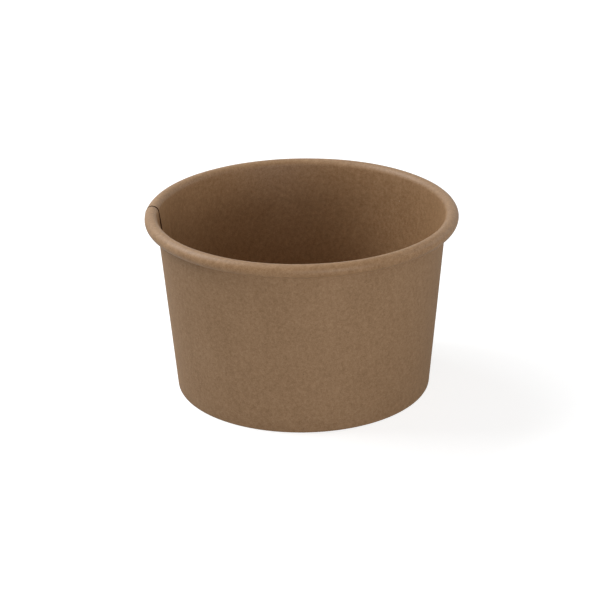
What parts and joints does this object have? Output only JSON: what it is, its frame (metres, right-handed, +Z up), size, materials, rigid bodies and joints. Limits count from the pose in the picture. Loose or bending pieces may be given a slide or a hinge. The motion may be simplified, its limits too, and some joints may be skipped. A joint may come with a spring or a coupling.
{
  "type": "paper ice cream tub",
  "caption": "Squat tapered kraft-paper tub with a rolled rim, a lapped side seam and a recessed base disc clamped in a folded hem.",
  "frame": {"origin": "centre of the circle the tub stands on, on the table", "axes": "+Z up along the tub's axis; the side seam is near -X, and +Y is away from the usual view"},
  "size_m": [0.096, 0.096, 0.057],
  "materials": {
    "wall_board": "uncoated-looking kraft board, matt",
    "base_board": "uncoated-looking kraft board, matt"
  },
  "bodies": {
    "root": {"side_wall": "wall_board", "base_disc": "base_board"}
  },
  "joints": []
}
